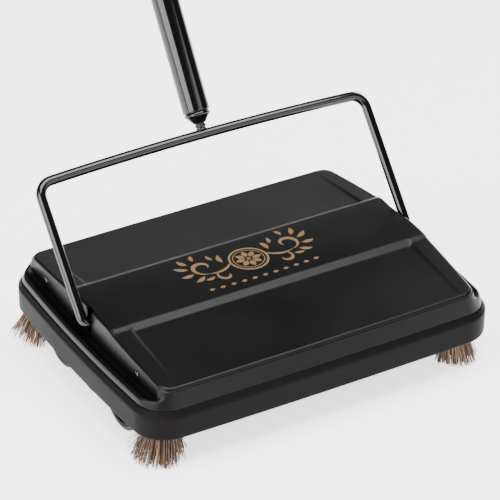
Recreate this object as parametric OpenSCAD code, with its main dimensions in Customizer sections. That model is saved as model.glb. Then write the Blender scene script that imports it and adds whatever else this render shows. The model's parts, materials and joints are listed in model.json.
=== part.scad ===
// Push-along carpet sweeper: four rubber-tyred wheels turn a brush roller by friction,
// and the roller throws the dirt into a front and a rear dust pan.
// X is across the path, +Y is towards the user, +Z is up and the floor is z = 0.

/* [Body] */
// Overall width of the body, side to side
body_w = 317.5; // [300:0.5:390]
// Overall depth of the body, front to back
body_d = 243.6; // [236:0.2:300]
// How far each side wall bows out at its middle
side_bow = 4.5; // [0:0.5:6]
// How far the front and rear walls bow out at their middle
end_bow = 1.9; // [0:0.1:3]
// Plan radius of the body corners
corner_r = 25; // [16:1:30]
// Height of the body's lower edge above the floor
ground_gap = 27; // [24:0.5:32]
// Height of the soft bumper band around the body
bumper_h = 19.5; // [16:0.5:26]
// Thickness of the bumper band
bumper_t = 2.2; // [1.2:0.1:3]
// Height of the sloping shoulder above the bumper
shoulder_h = 4.5; // [2:0.5:8]
// How far the shoulder slopes in
shoulder_in = 3; // [1:0.5:4]
// Wall thickness of the moulded base frame
frame_t = 3; // [2:0.5:4]
// Thickness of the decks that roof the wheel chambers
deck_t = 1.6; // [1.2:0.1:2]

/* [Cover] */
// Sheet thickness of the pressed cover
sheet_t = 1; // [0.6:0.1:1.4]
// Dark seam between the base and the cover
seam_gap = 0.6; // [0.3:0.1:1.5]
// How far the cover's lower edge is set in from the body's outline
skirt_in = 3.2; // [3:0.1:5]
// Height of the rolled rim along each side
rim_h = 6; // [4:0.5:8]
// How far the rim's crest is set in from the side of the body
rim_in = 6; // [5:0.1:8]
// Depth of the side trough below the rim's crest
trough_depth = 2.4; // [1:0.1:3]
// How far the upper cover's side walls stand in from the side of the body, at their ends
wall_in = 19.75; // [19.5:0.25:22]
// How far the upper cover's side walls bow out at their middle
wall_bow = 4.2; // [2:0.1:4.2]
// Height of the cover's wall above the trough
wall_rise = 12.3; // [10:0.1:16]
// How far the front and rear top edges are set in from the body's outline
edge_in = 8.5; // [6:0.1:11]
// Rise of the front and rear panels up to the raised band
panel_rise = 7.5; // [5:0.1:10]
// Depth of the raised band, front to back
band_d = 66; // [50:1:80]
// Width of the bevel along each side of the band
bevel_w = 6; // [3:0.5:9]
// Height of the bevel
bevel_h = 4; // [2:0.5:6]
// Plan radius of the upper cover's corners
cover_r = 14; // [8:1:18]
// Distance of each cover screw from the middle of the side
cover_screw_y = 75.6; // [72:0.2:80]
// Diameter of the cover screws
cover_screw_d = 3; // [2.5:0.5:4]

/* [Wheels] */
// Wheel diameter over the tyre
wheel_d = 52; // [49:0.5:53]
// Diameter of the drum that each pair of tyres drives
drum_d = 46.5; // [44:0.5:48]
// Width of the wheels
wheel_w = 12; // [9:0.5:12]
// Distance of the wheels' outer face from the side of the body
wheel_in = 14.5; // [14:0.1:16]
// Radial thickness of the tyre
tyre_t = 3.5; // [2:0.5:6]
// Diameter of the wheel axles
axle_d = 5; // [4:0.5:6]

/* [Roller] */
// Height of the roller's axis above the floor
roller_z = 28.5; // [28:0.1:29]
// Diameter over the roller's bristle tips
roller_d = 55; // [50:0.5:56]
// Diameter of the roller's core
core_d = 22; // [16:1:30]
// Diameter of the roller's shaft
shaft_d = 6; // [5:0.5:8]
// Number of bristle rows around the core
bristle_rows = 4; // [3:1:6]
// Thickness of a bristle row
row_t = 3; // [2:0.5:4]

/* [Dust pans] */
// Sheet thickness of the dust pans
pan_t = 1.2; // [0.8:0.1:1.6]
// Distance of each pan's lip from the roller's axis
pan_lip_y = 34.5; // [33:0.5:38]
// Height of the pan's back wall
pan_h = 16; // [12:1:18]
// Diameter of the hinge rods
rod_d = 3; // [2.5:0.5:4]
// Distance of the hinge rods from the front or rear of the body
rod_in = 14.3; // [13:0.1:16]

/* [Corner brushes] */
// Diameter of the brush cups
cup_d = 33; // [28:1:34]
// Diameter of the bristles at the floor
tuft_tip_d = 38; // [34:1:40]
// Distance of the brushes' centres from the side of the body
brush_in_x = 27.25; // [27:0.25:30]
// Distance of the brushes' centres from the front or rear of the body
brush_in_y = 25.8; // [25:0.1:28]

/* [Handle] */
// Diameter of the bail's rod
bail_d = 8; // [6:0.5:9.5]
// Distance of each bail leg's inner side from the side of the body
bail_in = 15.25; // [14.25:0.25:15.25]
// Distance from the pivot to the middle of the bail's bar
bail_l = 118; // [117:1:135]
// Radius of the bail's upper corners
bail_corner_r = 12; // [10:1:20]
// How far the bar bows up at its middle
bail_bow = 3; // [1:0.5:6]
// Height of the bail's pivot above the trough
pivot_rise = 10.2; // [9.8:0.1:11]
// How far the bail leans back from upright
bail_lean = 40; // [0:1:60]
// How far the handle tube is set forward of the bail
handle_set = 7; // [0:1:12]
// Outer diameter of the handle tube
tube_d = 22; // [19:0.5:26]
// Wall thickness of the handle tube
tube_wall = 0.7; // [0.5:0.1:1.2]
// Length of each of the three tube sections
section_l = 280; // [200:5:340]
// Diameter of the threaded stud under the handle
stud_d = 9; // [8:0.5:10]
// Length of the hand grip
grip_l = 112; // [90:1:140]
// Thickness of the hand grip around the tube
grip_t = 2.6; // [1.5:0.1:5]
// Radius of the hanging hole
hang_r = 5; // [4:0.5:6]

/* [Hidden] */
$fn = 64;
press = 0;            // parts that are pressed together share one size
run = 0.05;           // radial clearance of a running fit
half_w = body_w / 2;
half_d = body_d / 2;

// Heights, from the floor up
edge_z = ground_gap;
ridge_z = edge_z + bumper_h;
seam_z = ridge_z + shoulder_h;
skirt_z = seam_z + seam_gap;
rim_z = skirt_z + rim_h;
trough_z = rim_z - trough_depth;
deck_z = trough_z - sheet_t;
top_z = trough_z + wall_rise;
foot_z = top_z + panel_rise;
band_z = foot_z + bevel_h;
pivot_z = trough_z + pivot_rise;

// Cover, from the side of the body inwards
rim_x = half_w - rim_in;
rim_crown = 1;
rim_slope = 4.2;
trough_out_x = rim_x - rim_slope;
wall_x = half_w - wall_in;
wall_mid_x = wall_x + wall_bow;
skirt_y = half_d - skirt_in;
top_y = half_d - edge_in;
trough_end = 14;
screw_z = trough_z + 7.8;

// Base frame
lip_in = 7;
lip_t = 3;
hollow_in = bumper_t + frame_t;
bracket_t = 3;
wheel_out_x = half_w - wheel_in;
wheel_in_x = wheel_out_x - wheel_w;
side_clear = 2.3;
bracket_out_x = wheel_out_x + side_clear;
bracket_in_x = wheel_in_x - side_clear - bracket_t;
plate_x = half_w - brush_in_x - cup_d / 2 - bracket_t - 0.5;
plate_y = half_d - hollow_in - end_bow;
wheel_r = wheel_d / 2;
drum_r = drum_d / 2;
drive_gap = 0.3;      // between a tyre at rest and the drum it drives
wheel_y = sqrt(pow(wheel_r + drum_r + drive_gap, 2) - pow(roller_z - wheel_r, 2));
axle_boss_r = axle_d / 2 + 4;
bracket_y = wheel_y + wheel_r + 1;
lug_w = 16;
lug_x = wall_x - sheet_t - 0.4;
pylon_w = 22;
pylon_z = pivot_z + 8.6;
bush_r = bail_d / 2 + 3;
pad_z = edge_z + 13;
pad_t = 3;
brush_x = half_w - brush_in_x;
brush_y = half_d - brush_in_y;
brush_screw_d = 4;

// Roller
roller_r = roller_d / 2;
roller_bush_r = shaft_d / 2 + 3;
core_x = plate_x - 3.5;
bristle_x = core_x - 2;

// Dust pans
rod_y = half_d - rod_in;
rod_z = edge_z + 4;
pan_x = plate_x - 3.5;
pan_z = edge_z + 1;
pan_back_y = rod_y - rod_d / 2 - 2;
pan_floor_y = pan_lip_y + 9;
lip_rise = 8;
knuckle_r = rod_d / 2 + 1.5;
knuckle_x = pan_x - 38;
knuckle_l = 25;
spring_wire = 1.2;
spring_turns = 5;
spring_x = knuckle_x + knuckle_l + 2;
tooth_pitch = 8;
tooth_t = 1.6;
tooth_h = 4;

// Bail
bail_r = bail_d / 2;
bail_x = half_w - bail_in + bail_r;
foot_r = 7;
bow_a = 2 * atan(bail_bow / (bail_x - bail_corner_r));
bow_x = bail_x - bail_corner_r + bail_corner_r * sin(bow_a);
bow_r = bow_x / sin(bow_a);
bend_v = bail_l - bow_x * tan(bow_a / 2) - bail_corner_r * cos(bow_a);
stub_x = bracket_in_x - 5;
nut_t = 1.5;
handle_lean = bail_lean - handle_set;
bar_y = bail_l * sin(bail_lean);
bar_z = pivot_z + bail_l * cos(bail_lean);

// Handle, measured along the tube from the middle of the bail's bar
neck_l = 9;
cone_l = 5.5;
bead_l = 4;
tube_s = neck_l + cone_l + bead_l;
thread_l = 30;
insert_l = 22;
joint_l = 3;
middle_s = tube_s + section_l + joint_l;
upper_s = middle_s + section_l + joint_l;
tube_end = upper_s + section_l;
grip_s = tube_end - grip_l + 8;
cap_l = 9;
eye_r = hang_r + 5;
eye_t = 7;
eye_s = tube_end + cap_l + hang_r + 2;

// The origin is the middle of the whole machine's footprint, handle included
rear_y = bar_y + eye_s * sin(handle_lean) + eye_r;
origin_y = (rear_y - half_d) / 2;

black = "#26262a";
base_grey = "#4a484b";
steel = "#b8babd";
nylon = "#d9d6cc";
bristle = "#8a6a50";

// ---- Shared shapes ----

// One side of a closed outline and the round corner that follows it
function side(x0, y0, x1, y1, n) = [for (i = [0:n - 1]) [x0 + (x1 - x0) * i / n, y0 + (y1 - y0) * i / n]];
function turn(x, y, r, a, n) = [for (i = [0:n - 1]) [x + r * cos(a + 90 * i / n), y + r * sin(a + 90 * i / n)]];
function round_box(a, b, r, n = 8) = concat(
    side(a, r - b, a, b - r, n), turn(a - r, b - r, r, 0, n),
    side(a - r, b, r - a, b, n), turn(r - a, b - r, r, 90, n),
    side(-a, b - r, -a, r - b, n), turn(r - a, r - b, r, 180, n),
    side(r - a, -b, a - r, -b, n), turn(a - r, r - b, r, 270, n));

// Plan outline whose four sides bow gently outwards
function bowed(a, b, r, bow_x, bow_y) = [for (p = round_box(a, b, r))
    [p.x * (1 + bow_x / a * (1 - pow(p.y / b, 2))), p.y * (1 + bow_y / b * (1 - pow(p.x / a, 2)))]];

module plan(inset) {
    polygon(bowed(half_w - side_bow - inset, half_d - end_bow - inset, max(corner_r - inset, 4), side_bow, end_bow));
}

module slab(inset, z0, z1) {
    translate([0, 0, z0]) linear_extrude(z1 - z0) plan(inset);
}

// Round bar along X
module x_bar(x0, x1, r, y, z) {
    translate([x0, y, z]) rotate([0, 90, 0]) cylinder(h = x1 - x0, r = r);
}

// Ring along X
module x_ring(x0, x1, r_out, r_in, y, z) {
    difference() {
        x_bar(x0, x1, r_out, y, z);
        x_bar(x0 - 1, x1 + 1, r_in, y, z);
    }
}

// An outline in Y and Z drawn out along X, and one in X and Z drawn out along Y
module along_x(x0, x1) {
    translate([x0, 0, 0]) rotate([90, 0, 90]) linear_extrude(x1 - x0) children();
}
module along_y(y0, y1) {
    translate([0, y1, 0]) rotate([90, 0, 0]) linear_extrude(y1 - y0) children();
}

module both_sides() {
    children();
    mirror([1, 0, 0]) children();
}
module both_ends() {
    children();
    mirror([0, 1, 0]) children();
}
module on_floor() {
    translate([0, -origin_y, 0]) children();
}

// ---- Base ----

module wheel_bracket(x0) {
    translate([x0, -bracket_y, edge_z]) cube([bracket_t, 2 * bracket_y, deck_z - edge_z]);
    both_ends() x_bar(x0, x0 + bracket_t, axle_boss_r, wheel_y, wheel_r);
}

module base_shell() {
    difference() {
        union() {
            slab(bumper_t, edge_z, ridge_z);
            hull() {
                slab(0, ridge_z, ridge_z + 0.4);
                slab(shoulder_in, seam_z - 0.4, seam_z);
            }
            slab(lip_in, seam_z - 1, deck_z);
        }
        slab(hollow_in, edge_z - 1, ridge_z);
        slab(lip_in + lip_t, ridge_z - 1, deck_z + 1);
    }
}

module side_chamber() {
    // Roof over the wheels
    intersection() {
        slab(lip_in + 1, deck_z - deck_t, deck_z);
        translate([plate_x, -half_d, 0]) cube([half_w, body_d, body_w]);
    }
    // Partition beside the roller and the pans
    translate([plate_x, -plate_y, edge_z]) cube([bracket_t, 2 * plate_y, deck_z - edge_z]);
    wheel_bracket(bracket_in_x);
    wheel_bracket(bracket_out_x);
    // Uprights that hold the bail's bushes and the cover's screws
    translate([bracket_in_x, -pylon_w / 2, deck_z - 1]) cube([lug_x - bracket_in_x, pylon_w, pylon_z - deck_z + 1]);
    both_ends() translate([bracket_in_x, cover_screw_y - lug_w / 2, deck_z - 1])
        cube([lug_x - bracket_in_x, lug_w, screw_z + 5 - deck_z + 1]);
    // Pads over the corner brushes
    both_ends() intersection() {
        slab(bumper_t + 1, pad_z, pad_z + pad_t);
        translate([plate_x, brush_y - cup_d / 2, 0]) cube([half_w, half_d, body_w]);
    }
}

module base_frame() {
    color(base_grey) on_floor() difference() {
        union() {
            base_shell();
            both_sides() side_chamber();
        }
        both_sides() {
            both_ends() {
                x_bar(bracket_in_x - 1, bracket_out_x + bracket_t + 1, axle_d / 2 + press, wheel_y, wheel_r);
                x_bar(plate_x - 1, plate_x + bracket_t + 1, rod_d / 2 + press, rod_y, rod_z);
                x_bar(lug_x - 11, lug_x + 1, cover_screw_d / 2 + press, cover_screw_y, screw_z);
                translate([brush_x, brush_y, pad_z - 1]) cylinder(h = pad_t + 2, r = brush_screw_d / 2 + press);
            }
            x_bar(bracket_in_x - 1, bracket_in_x + bracket_t + 1, roller_bush_r + press, 0, roller_z);
            x_bar(plate_x - 1, plate_x + bracket_t + 1, shaft_d / 2 + 2, 0, roller_z);
            x_bar(bracket_in_x - 1, lug_x + 1, bush_r + press, 0, pivot_z);
        }
    }
}

module bumper() {
    color(base_grey) on_floor() difference() {
        slab(0, edge_z, ridge_z);
        slab(bumper_t, edge_z - 1, ridge_z + 1);
    }
}

// ---- Cover ----

// The upper cover's outline from the front, and the slab under it, drawn in by t all round
module dome(t, z0) {
    a = wall_x - t;
    b = skirt_y - end_bow - t;
    intersection() {
        translate([0, 0, z0]) linear_extrude(band_z) polygon(bowed(a, b, cover_r - t, wall_bow, end_bow));
        along_x(-half_w, half_w) polygon([
            [-(skirt_y - t), z0], [skirt_y - t, z0], [top_y - t, top_z - t],
            [band_d / 2 + bevel_w, foot_z - t], [band_d / 2, band_z - t],
            [-band_d / 2, band_z - t], [-(band_d / 2 + bevel_w), foot_z - t], [-(top_y - t), top_z - t]]);
    }
}

module rim_slab(t, z0) {
    difference() {
        intersection() {
            slab(skirt_in + t, z0, rim_z - t);
            along_y(-half_d, half_d) polygon([
                [-(half_w - skirt_in - t), z0], [half_w - skirt_in - t, z0],
                [rim_x - t, rim_z - t], [-(rim_x - t), rim_z - t]]);
            along_x(-half_w, half_w) polygon([
                [-(skirt_y - t), z0], [skirt_y - t, z0], [top_y - t, top_z - t], [-(top_y - t), top_z - t]]);
        }
        both_sides() along_y(trough_end - half_d - t, half_d - trough_end + t) polygon([
            [wall_x - t - 1, trough_z - t], [trough_out_x + t, trough_z - t],
            [rim_x - rim_crown + t, rim_z + 1], [wall_x - t - 1, rim_z + 1]]);
    }
}

module top_cover() {
    color(black) on_floor() difference() {
        union() {
            rim_slab(0, skirt_z);
            dome(0, skirt_z);
        }
        rim_slab(sheet_t, skirt_z - 1);
        dome(sheet_t, skirt_z - 1);
        both_sides() {
            // Slot that the bail's foot drops into, with room for its bush
            translate([lug_x + 0.2, -bail_r - 0.5, pivot_z]) cube([wall_in, bail_d + 1, band_z]);
            x_bar(lug_x + 0.2, wall_mid_x + 1, bush_r + 0.3, 0, pivot_z);
            both_ends() x_bar(lug_x + 0.2, wall_mid_x + 1, cover_screw_d / 2 + 0.2, cover_screw_y, screw_z);
        }
    }
}

module cover_screws() {
    head_r = cover_screw_d / 2 + 1.3;
    head_x = wall_x + wall_bow * (1 - pow((cover_screw_y - head_r) / (skirt_y - end_bow), 2));
    color(black) on_floor() both_sides() both_ends() {
        x_bar(lug_x - 10, head_x, cover_screw_d / 2, cover_screw_y, screw_z);
        x_bar(head_x, head_x + 1.6, head_r, cover_screw_y, screw_z);
    }
}

// ---- Corner brushes, placed by their side (-1 or 1) and end (-1 or 1) ----

module brush_cup(s, e) {
    color(black) on_floor() translate([s * brush_x, e * brush_y, 0]) difference() {
        translate([0, 0, edge_z - 1]) cylinder(h = pad_z - edge_z + 1, r = cup_d / 2);
        translate([0, 0, edge_z - 2]) cylinder(h = pad_z - edge_z - 2, r = cup_d / 2 - 2.5);
        translate([0, 0, edge_z]) cylinder(h = pad_z, r = brush_screw_d / 2 + press);
    }
}

module brush_tuft(s, e) {
    root_r = cup_d / 2 - 2.5;
    color(bristle) on_floor() translate([s * brush_x, e * brush_y, 0]) rotate_extrude() polygon([
        [0, 0], [tuft_tip_d / 2, 0], [root_r + 0.5, edge_z * 0.6], [root_r, edge_z - 1],
        [root_r, pad_z - 6], [0, pad_z - 6]]);
}

module brush_screws() {
    color(steel) on_floor() both_sides() both_ends() translate([brush_x, brush_y, 0]) {
        translate([0, 0, pad_z - 4]) cylinder(h = pad_t + 4, r = brush_screw_d / 2);
        translate([0, 0, pad_z + pad_t]) cylinder(h = 2, r = brush_screw_d);
    }
}

// ---- Roller ----

module roller_shaft() {
    color(steel) on_floor() x_bar(-wheel_out_x - 1, wheel_out_x + 1, shaft_d / 2, 0, roller_z);
}

module roller_core() {
    color("#6b4a2f") on_floor() x_ring(-core_x + 1.5, core_x - 1.5, core_d / 2, shaft_d / 2 + press, 0, roller_z);
}

module roller_end_caps() {
    color(black) on_floor() both_sides()
        x_ring(core_x - 1.5, core_x, roller_r - 6, shaft_d / 2 + press, 0, roller_z);
}

module roller_bristles() {
    color(bristle) on_floor() difference() {
        for (i = [0:bristle_rows - 1])
            translate([0, 0, roller_z]) rotate([45 + 360 * i / bristle_rows, 0, 0])
                translate([-bristle_x, -row_t / 2, core_d / 2 - 1]) cube([2 * bristle_x, row_t, roller_r - core_d / 2 + 1]);
        x_bar(-half_w, half_w, core_d / 2, 0, roller_z);
    }
}

module roller_bushes() {
    color(nylon) on_floor() both_sides() difference() {
        union() {
            x_bar(bracket_in_x, bracket_in_x + bracket_t, roller_bush_r, 0, roller_z);
            x_bar(bracket_in_x - 1.5, bracket_in_x, roller_bush_r + 2, 0, roller_z);
        }
        x_bar(bracket_in_x - 2, bracket_in_x + bracket_t + 1, shaft_d / 2 + run, 0, roller_z);
    }
}

module drive_drum(s) {
    color("#2f2f33") on_floor() scale([s, 1, 1])
        x_ring(wheel_in_x, wheel_out_x, drum_r, shaft_d / 2 + press, 0, roller_z);
}

// ---- Wheels, placed by their side and end ----

module wheel(s, e) {
    color(base_grey) on_floor() scale([s, e, 1]) difference() {
        union() {
            x_bar(wheel_in_x, wheel_out_x, wheel_r - tyre_t, wheel_y, wheel_r);
            x_bar(wheel_in_x - side_clear + 0.3, wheel_out_x + side_clear - 0.3, axle_boss_r, wheel_y, wheel_r);
        }
        x_bar(wheel_in_x - 5, wheel_out_x + 5, axle_d / 2 + run, wheel_y, wheel_r);
        // Dished outer face
        x_ring(wheel_out_x - 2, wheel_out_x + 1, wheel_r - tyre_t - 2.5, axle_boss_r + 1, wheel_y, wheel_r);
    }
}

module tyre(s, e) {
    color("#1c1c1e") on_floor() scale([s, e, 1])
        x_ring(wheel_in_x, wheel_out_x, wheel_r, wheel_r - tyre_t, wheel_y, wheel_r);
}

module wheel_axles() {
    color(steel) on_floor() both_sides() both_ends()
        x_bar(bracket_in_x, bracket_out_x + bracket_t, axle_d / 2, wheel_y, wheel_r);
}

// ---- Dust pans, drawn at the rear end and mirrored for the front ----

module pan(e) {
    color("#3a3a3e") on_floor() scale([1, e, 1]) difference() {
        union() {
            // Folded sheet: lip, floor and back wall
            along_x(-pan_x, pan_x) polygon([
                [pan_lip_y, pan_z + lip_rise], [pan_floor_y, pan_z], [pan_back_y, pan_z],
                [pan_back_y, pan_z + pan_h], [pan_back_y - pan_t, pan_z + pan_h],
                [pan_back_y - pan_t, pan_z + pan_t], [pan_floor_y + pan_t / 2, pan_z + pan_t],
                [pan_lip_y + pan_t, pan_z + lip_rise + pan_t / 2]]);
            both_sides() along_x(pan_x - pan_t, pan_x) polygon([
                [pan_lip_y, pan_z + lip_rise], [pan_floor_y, pan_z],
                [pan_back_y, pan_z], [pan_back_y, pan_z + pan_h]]);
            // Comb teeth that strip threads from the roller
            for (x = [tooth_pitch - pan_x:tooth_pitch:pan_x - tooth_pitch])
                translate([x - tooth_t / 2, pan_lip_y, pan_z + lip_rise - 1]) cube([tooth_t, pan_t, tooth_h + 1]);
            // Hinge knuckles and their webs
            both_sides() {
                x_bar(knuckle_x, knuckle_x + knuckle_l, knuckle_r, rod_y, rod_z);
                translate([knuckle_x, pan_back_y - pan_t, rod_z - 1]) cube([knuckle_l, rod_y - pan_back_y + pan_t, 2]);
            }
            // Finger tab for opening the pan from below
            translate([-16, pan_floor_y + 8, pan_z - 7]) cube([32, 2, 7 + pan_t / 2]);
        }
        x_bar(-half_w, half_w, rod_d / 2 + run, rod_y, rod_z);
    }
}

module pan_rod(e) {
    color(steel) on_floor() scale([1, e, 1])
        x_bar(-plate_x - bracket_t, plate_x + bracket_t, rod_d / 2, rod_y, rod_z);
}

// Each coil is one closed sleeve of the spring's outer and inner diameters
module pan_springs(e) {
    coil_r = rod_d / 2 + spring_wire / 2 + 0.2;
    color(steel) on_floor() scale([1, e, 1]) both_sides() {
        x_ring(spring_x, spring_x + spring_turns * spring_wire, coil_r + spring_wire / 2,
            coil_r - spring_wire / 2, rod_y, rod_z);
        translate([spring_x + spring_wire / 2, rod_y + coil_r, rod_z]) cylinder(h = 8, d = spring_wire, $fn = 16);
    }
}

// ---- Bail, drawn upright around its pivot ----

module bent_rod(r, a0, a1) {
    rotate([0, 0, a0]) rotate_extrude(angle = a1 - a0) translate([r, 0]) circle(r = bail_r, $fn = 32);
}

module in_bail_plane() {
    translate([0, 0, pivot_z]) rotate([90 - bail_lean, 0, 0]) children();
}

// The bar follows a wide arc between the two corners and runs a little way into each
module bowed_bar(steps = 12, sides = 24) {
    reach = bow_a + 1.5 / bow_r * 180 / PI;
    rod_r = bail_r * 0.998;
    points = [for (i = [0:steps]) let (a = reach - 2 * reach * i / steps) for (j = [0:sides - 1])
        let (b = 360 * j / sides, out = bow_r + rod_r * cos(b))
        [out * sin(a), bail_l - bow_r + out * cos(a), rod_r * sin(b)]];
    skin = [for (i = [0:steps - 1]) for (j = [0:sides - 1]) let (k = (j + 1) % sides)
        [i * sides + j, i * sides + k, (i + 1) * sides + k, (i + 1) * sides + j]];
    ends = [[for (j = [sides - 1:-1:0]) j], [for (j = [0:sides - 1]) steps * sides + j]];
    polyhedron(points, concat(skin, ends));
}

module bail() {
    color(black) on_floor() in_bail_plane() {
        both_sides() {
            rotate([0, 90, 0]) translate([0, 0, stub_x]) cylinder(h = bail_x - foot_r - stub_x, r = bail_r);
            translate([bail_x - foot_r, foot_r, 0]) bent_rod(foot_r, -90, 0);
            translate([bail_x, foot_r, 0]) rotate([-90, 0, 0]) cylinder(h = bend_v - foot_r, r = bail_r);
            translate([bail_x - bail_corner_r, bend_v, 0]) bent_rod(bail_corner_r, 0, 90 - bow_a);
        }
        bowed_bar();
    }
}

module bail_bushes() {
    color(black) on_floor() both_sides() difference() {
        union() {
            x_bar(bracket_in_x, bail_x - foot_r - 0.3, bush_r, 0, pivot_z);
            x_bar(bracket_in_x - 1.2, bracket_in_x, bush_r + 2, 0, pivot_z);
        }
        x_bar(bracket_in_x - 2, bail_x, bail_r + run, 0, pivot_z);
    }
}

module bail_push_nuts() {
    color(steel) on_floor() both_sides()
        x_ring(bracket_in_x - 1.6 - nut_t, bracket_in_x - 1.6, bail_r + 3.5, bail_r + press, 0, pivot_z);
}

// ---- Handle, drawn upright from the middle of the bail's bar ----

module on_bar() {
    translate([0, bar_y, bar_z]) rotate([-handle_lean, 0, 0]) children();
}

module tube(s0, length) {
    color(black) on_floor() on_bar() translate([0, 0, s0]) difference() {
        cylinder(h = length, d = tube_d);
        translate([0, 0, -1]) cylinder(h = length + 2, d = tube_d - 2 * tube_wall);
    }
}

module handle_stud() {
    color(steel) on_floor() on_bar() difference() {
        union() {
            cylinder(h = neck_l, d = stud_d);
            cylinder(h = neck_l + thread_l, d = stud_d - 1);
        }
        x_bar(-tube_d, tube_d, bail_r, 0, 0);
    }
}

module tube_socket() {
    bead_r = tube_d / 2 - 0.6;
    color(black) on_floor() on_bar() difference() {
        union() {
            translate([0, 0, neck_l]) cylinder(h = cone_l, r1 = stud_d / 2 + 0.4, r2 = tube_d / 2 - 2);
            translate([0, 0, neck_l + cone_l]) rotate_extrude() {
                square([bead_r - bead_l / 2, bead_l]);
                translate([bead_r - bead_l / 2, bead_l / 2]) circle(d = bead_l, $fn = 32);
            }
            translate([0, 0, tube_s]) cylinder(h = insert_l, r = tube_d / 2 - tube_wall - press);
        }
        translate([0, 0, neck_l - 1]) cylinder(h = thread_l + 1, d = stud_d - 1 + 2 * press);
    }
}

module tube_joiner(s0) {
    color(black) on_floor() on_bar() {
        translate([0, 0, s0 - joint_l]) cylinder(h = joint_l, r = tube_d / 2);
        translate([0, 0, s0 - joint_l - insert_l]) cylinder(h = joint_l + 2 * insert_l, r = tube_d / 2 - tube_wall - press);
    }
}

module grip() {
    color("#222225") on_floor() on_bar() translate([0, 0, grip_s]) difference() {
        cylinder(h = tube_end - grip_s, r = tube_d / 2 + grip_t);
        translate([0, 0, -1]) cylinder(h = grip_l + 2, r = tube_d / 2 + press);
    }
}

module hang_cap() {
    color("#222225") on_floor() on_bar() difference() {
        union() {
            translate([0, 0, tube_end - insert_l]) cylinder(h = insert_l, r = tube_d / 2 - tube_wall - press);
            translate([0, 0, tube_end]) cylinder(h = cap_l - 2, r = tube_d / 2 + grip_t);
            translate([0, 0, tube_end + cap_l - 2]) cylinder(h = 2, r1 = tube_d / 2 + grip_t, r2 = tube_d / 2);
            x_bar(-eye_t / 2, eye_t / 2, eye_r, 0, eye_s);
            translate([-eye_t / 2, -eye_r, tube_end + 1]) cube([eye_t, 2 * eye_r, eye_s - tube_end - 1]);
        }
        x_bar(-eye_t, eye_t, hang_r, 0, eye_s);
    }
}

base_frame();
bumper();
top_cover();
cover_screws();
brush_cup(-1, -1);  // brush_cup_fl
brush_cup(1, -1);  // brush_cup_fr
brush_cup(-1, 1);  // brush_cup_rl
brush_cup(1, 1);  // brush_cup_rr
brush_tuft(-1, -1);  // brush_tuft_fl
brush_tuft(1, -1);  // brush_tuft_fr
brush_tuft(-1, 1);  // brush_tuft_rl
brush_tuft(1, 1);  // brush_tuft_rr
brush_screws();
roller_shaft();
roller_core();
roller_end_caps();
roller_bristles();
roller_bushes();
drive_drum(-1);  // drive_drum_left
drive_drum(1);  // drive_drum_right
wheel(-1, -1);  // wheel_fl
wheel(1, -1);  // wheel_fr
wheel(-1, 1);  // wheel_rl
wheel(1, 1);  // wheel_rr
tyre(-1, -1);  // tyre_fl
tyre(1, -1);  // tyre_fr
tyre(-1, 1);  // tyre_rl
tyre(1, 1);  // tyre_rr
wheel_axles();
pan(-1);  // dust_pan_front
pan(1);  // dust_pan_rear
pan_rod(-1);  // pan_rod_front
pan_rod(1);  // pan_rod_rear
pan_springs(-1);  // pan_springs_front
pan_springs(1);  // pan_springs_rear
bail();
bail_bushes();
bail_push_nuts();
handle_stud();
tube_socket();
tube(tube_s, section_l);  // tube_lower
tube_joiner(middle_s);  // tube_joiner_lower
tube(middle_s, section_l);  // tube_middle
tube_joiner(upper_s);  // tube_joiner_upper
tube(upper_s, section_l);  // tube_upper
grip();
hang_cap();
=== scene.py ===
import json
import math
import random

import bmesh
import bpy
from mathutils import Matrix, Vector
from mathutils.kdtree import KDTree


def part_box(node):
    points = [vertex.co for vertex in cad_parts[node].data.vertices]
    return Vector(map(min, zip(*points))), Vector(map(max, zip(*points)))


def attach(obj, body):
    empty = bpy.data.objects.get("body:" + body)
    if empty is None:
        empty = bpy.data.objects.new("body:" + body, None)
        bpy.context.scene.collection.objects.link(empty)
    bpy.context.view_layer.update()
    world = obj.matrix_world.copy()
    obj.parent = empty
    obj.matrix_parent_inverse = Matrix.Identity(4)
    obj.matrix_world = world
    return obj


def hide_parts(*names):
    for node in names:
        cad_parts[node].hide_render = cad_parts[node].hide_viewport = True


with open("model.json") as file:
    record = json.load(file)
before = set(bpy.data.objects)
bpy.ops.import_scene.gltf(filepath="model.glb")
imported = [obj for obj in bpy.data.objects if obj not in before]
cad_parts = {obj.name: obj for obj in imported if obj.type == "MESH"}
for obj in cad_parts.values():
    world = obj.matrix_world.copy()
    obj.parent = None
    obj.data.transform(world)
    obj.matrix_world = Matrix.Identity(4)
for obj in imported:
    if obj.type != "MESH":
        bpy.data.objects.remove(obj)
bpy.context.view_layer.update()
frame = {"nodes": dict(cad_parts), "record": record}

MM = 0.001

# ---- Camera, studio light and floor ----
# The machine stands on a pale, softly lit table under a large overhead softbox.  Side lights and
# a front panel draw long streaks down the gloss enamel, and a low panel behind lifts the far side.

BODY_LOW, BODY_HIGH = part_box("bumper")
BODY_Y = (BODY_LOW.y + BODY_HIGH.y) / 2
HALF_W = BODY_HIGH.x
HALF_D = (BODY_HIGH.y - BODY_LOW.y) / 2

VIEW_TURN = math.radians(-30.2412)
VIEW_DOWN = math.radians(31.684)
VIEW_ROLL = math.radians(0.2146)
VIEW_DISTANCE = 2.2434
LENS_MM = 202.6
VIEW_TARGET = Vector((0.0137, BODY_Y + 0.0244, 0.0711))

FLOOR_SIZE = 40.0
FLOOR_COLOUR = (0.88, 0.88, 0.88, 1)
FLOOR_GLOW = 1.9
SKY_COLOUR = (0.95, 0.96, 1.0, 1)
SKY_STRENGTH = 0.11

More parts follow.
